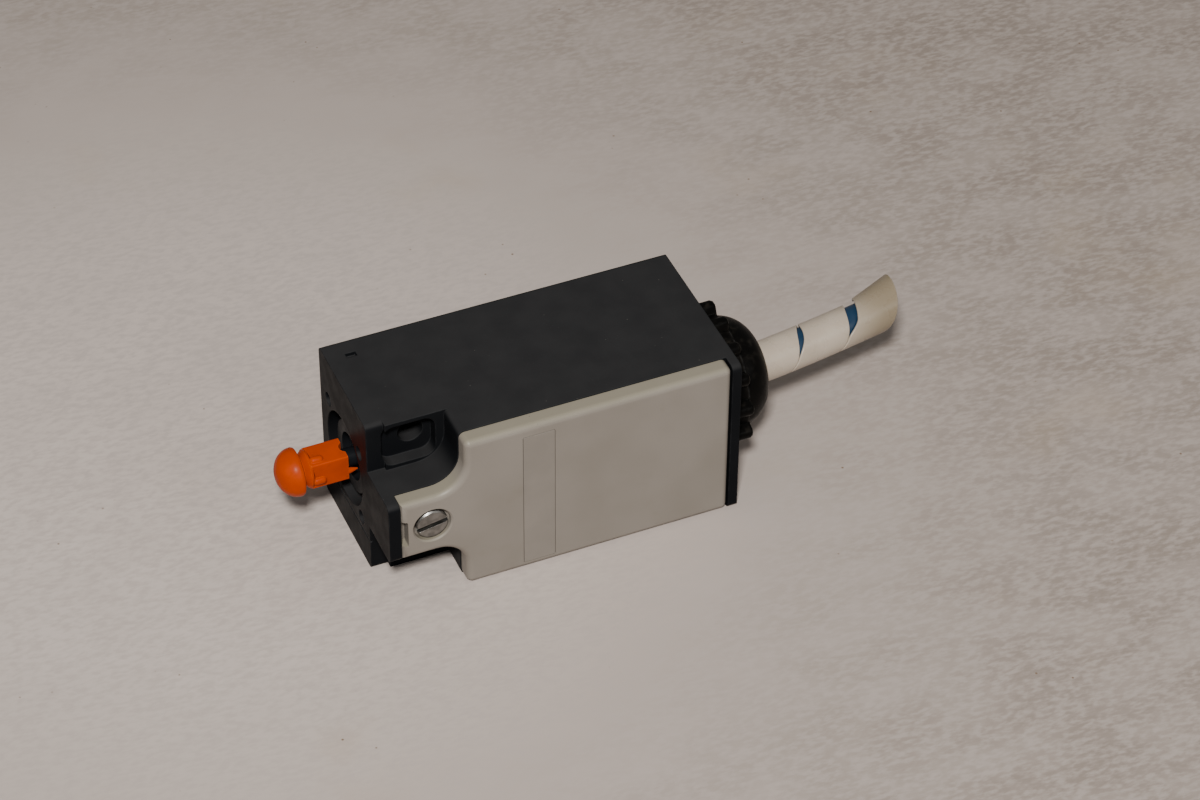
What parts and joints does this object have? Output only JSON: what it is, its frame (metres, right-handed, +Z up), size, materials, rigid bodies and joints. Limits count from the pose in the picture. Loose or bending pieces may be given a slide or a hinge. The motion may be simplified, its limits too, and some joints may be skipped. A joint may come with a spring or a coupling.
{
  "type": "limit switch",
  "caption": "Insulated limit switch body with sprung plunger, change-over contact block, screwed front cover and a gland with a short cable end.",
  "frame": {"origin": "midway between the two mounting holes, on the mounting face at the back of the body", "axes": "+X from the head end towards the cable end, -Y out of the front cover, +Z up with the body lying on one long side"},
  "size_m": [0.1117, 0.0311, 0.031],
  "materials": {
    "housing_plastic": "fine spark-eroded texture, dark blue-grey moulded thermoplastic",
    "cover_plastic": "smooth matte light warm grey, slightly scuffed",
    "strip_plastic": "thin blank strip, same light grey",
    "plunger_orange": "glossy orange acetal",
    "bush_plastic": "satin dark grey acetal",
    "block_plastic": "dull black thermoset",
    "lid_plastic": "smooth mid grey",
    "carrier_plastic": "cream acetal",
    "gland_plastic": "smooth black polyamide",
    "seal_rubber": "black rubber",
    "brass": "turned brass",
    "contact_brass": "stamped brass strip",
    "contact_silver": "silver alloy contact rivet",
    "copper": "bare stranded copper",
    "zinc_steel": "bright zinc plated steel",
    "spring_steel": "drawn spring wire",
    "sheath_blue": "smooth blue PVC",
    "wrap_white": "off-white polyethylene, slightly translucent",
    "wire_brown": "smooth PVC",
    "wire_black": "smooth PVC",
    "wire_blue": "smooth PVC",
    "wire_grey": "smooth PVC"
  },
  "bodies": {
    "switch_body": {"housing": "housing_plastic", "screw_insert": "brass", "cover_gasket": "seal_rubber", "guide_bush": "bush_plastic", "plunger_seal": "seal_rubber", "return_spring": "spring_steel", "contact_base": "block_plastic", "contact_lid": "lid_plastic", "contact_base_screws": "zinc_steel", "terminal_11": "contact_brass", "terminal_12": "contact_brass", "terminal_23": "contact_brass", "terminal_24": "contact_brass", "fixed_contact_tips": "contact_silver", "terminal_clamps": "zinc_steel", "terminal_screws": "zinc_steel", "gland_washer": "seal_rubber", "gland_body": "gland_plastic", "gland_locknut": "gland_plastic", "gland_seal": "seal_rubber", "gland_nut": "gland_plastic", "cable_sheath": "sheath_blue", "cable_wrap": "wrap_white", "wire_11": "wire_brown", "wire_12": "wire_black", "wire_23": "wire_blue", "wire_24": "wire_grey", "wire_strands": "copper"},
    "plunger": {"plunger_cap": "plunger_orange", "plunger_stem": "bush_plastic", "contact_carrier": "carrier_plastic"},
    "nc_contact": {"nc_bridge": "contact_brass", "nc_bridge_tips": "contact_silver", "nc_contact_spring": "spring_steel"},
    "no_contact": {"no_bridge": "contact_brass", "no_bridge_tips": "contact_silver", "no_contact_spring": "spring_steel"},
    "cover": {"front_cover": "cover_plastic", "marking_strip": "strip_plastic", "screw_retainer": "seal_rubber"},
    "cover_screw": {"cover_screw": "zinc_steel"}
  },
  "joints": [
    {"name": "plunger_slide", "type": "slide", "parent": "switch_body", "child": "plunger", "axis": [1, 0, 0], "range_m": [0, 0.0055], "stiffness_N_per_m": 400, "springref_m": -0.0075, "deforming": ["return_spring", "plunger_seal"]},
    {"name": "nc_contact_slide", "type": "slide", "parent": "switch_body", "child": "nc_contact", "axis": [1, 0, 0], "range_m": [0, 0.003], "deforming": ["nc_contact_spring"]},
    {"name": "no_contact_slide", "type": "slide", "parent": "switch_body", "child": "no_contact", "axis": [1, 0, 0], "range_m": [0, 0.0035], "deforming": ["no_contact_spring"]},
    {"name": "cover_lift", "type": "slide", "parent": "switch_body", "child": "cover", "axis": [0, -1, 0], "range_m": [0, 0.02]},
    {"name": "cover_screw_turn", "type": "hinge", "parent": "cover", "child": "cover_screw", "pos_m": [-0.0006, -0.029, 0], "axis": [0, -1, 0], "continuous": true}
  ],
  "couplings": [
    {"joint": "nc_contact_slide", "follows": "plunger_slide", "ratio": 0.5454},
    {"joint": "no_contact_slide", "follows": "plunger_slide", "ratio": 0.6363}
  ]
}
